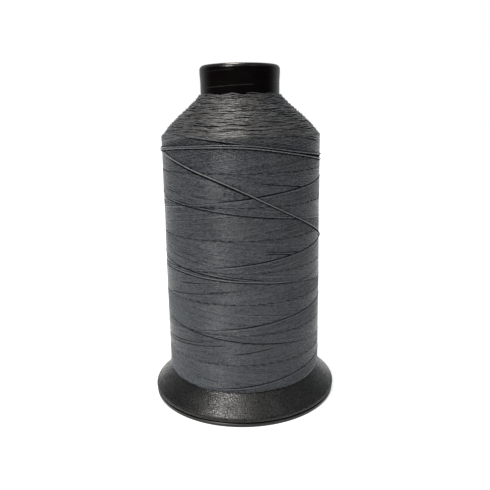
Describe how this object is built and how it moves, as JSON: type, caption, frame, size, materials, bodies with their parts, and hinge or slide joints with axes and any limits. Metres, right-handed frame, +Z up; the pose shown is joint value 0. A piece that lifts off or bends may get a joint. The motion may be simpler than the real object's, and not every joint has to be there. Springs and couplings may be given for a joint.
{
  "type": "spool of thread",
  "caption": "Tall black plastic spool with a conical flange, cross-wound with grey heavy sewing thread, its loose end caught at the foot.",
  "frame": {"origin": "centre of the foot, on the surface that the spool stands on", "axes": "+Z up along the spool's axis; -Y is the front that the picture shows"},
  "size_m": [0.0766, 0.0766, 0.1337],
  "materials": {
    "spool_plastic": "glossy black moulding with fine rub marks",
    "base_plastic": "dark grey-black moulding, slightly duller",
    "thread": "bonded slate-grey filament thread with a low sheen"
  },
  "bodies": {
    "root": {"foot_base": "base_plastic", "barrel": "spool_plastic", "cone_flange": "spool_plastic", "thread_package": "thread", "outer_turns": "thread", "loose_end": "thread"}
  },
  "joints": []
}
